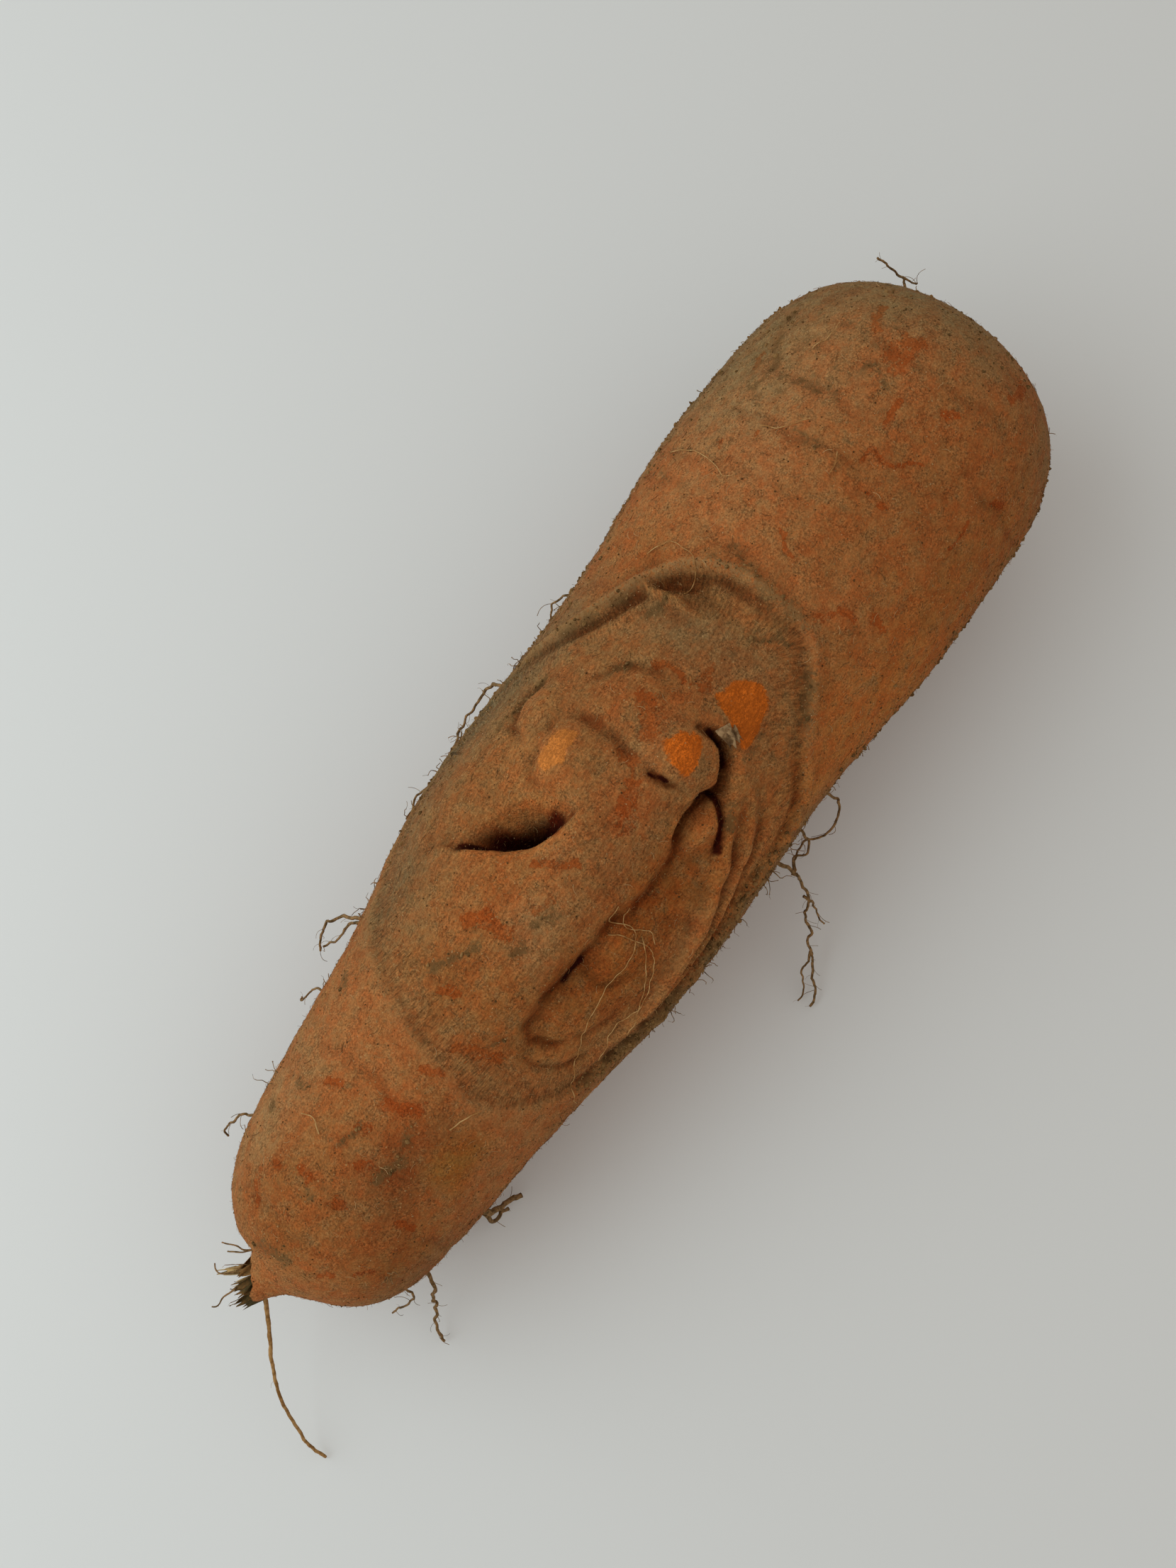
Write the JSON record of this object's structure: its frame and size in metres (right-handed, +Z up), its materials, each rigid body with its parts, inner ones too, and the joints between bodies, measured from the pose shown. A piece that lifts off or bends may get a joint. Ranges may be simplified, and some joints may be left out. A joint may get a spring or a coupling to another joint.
{
  "type": "carrot",
  "caption": "Large unwashed carrot root lying on its side, with a long healed wound on top, a thin tail root and dry leaf stubs at the crown.",
  "frame": {"origin": "on the surface it lies on, under the middle of the whole carrot's box, tail root and side rootlets included", "axes": "+X along the root towards the crown, +Z up, with the healed wound on top"},
  "size_m": [0.2266, 0.0812, 0.0611],
  "materials": {
    "carrot_skin": "dull orange-brown skin with a dry coat of soil",
    "dry_leaf_stub": "dry, fibrous, dull"
  },
  "bodies": {
    "root": {"carrot_root": "carrot_skin", "leaf_stubs": "dry_leaf_stub"}
  },
  "joints": []
}
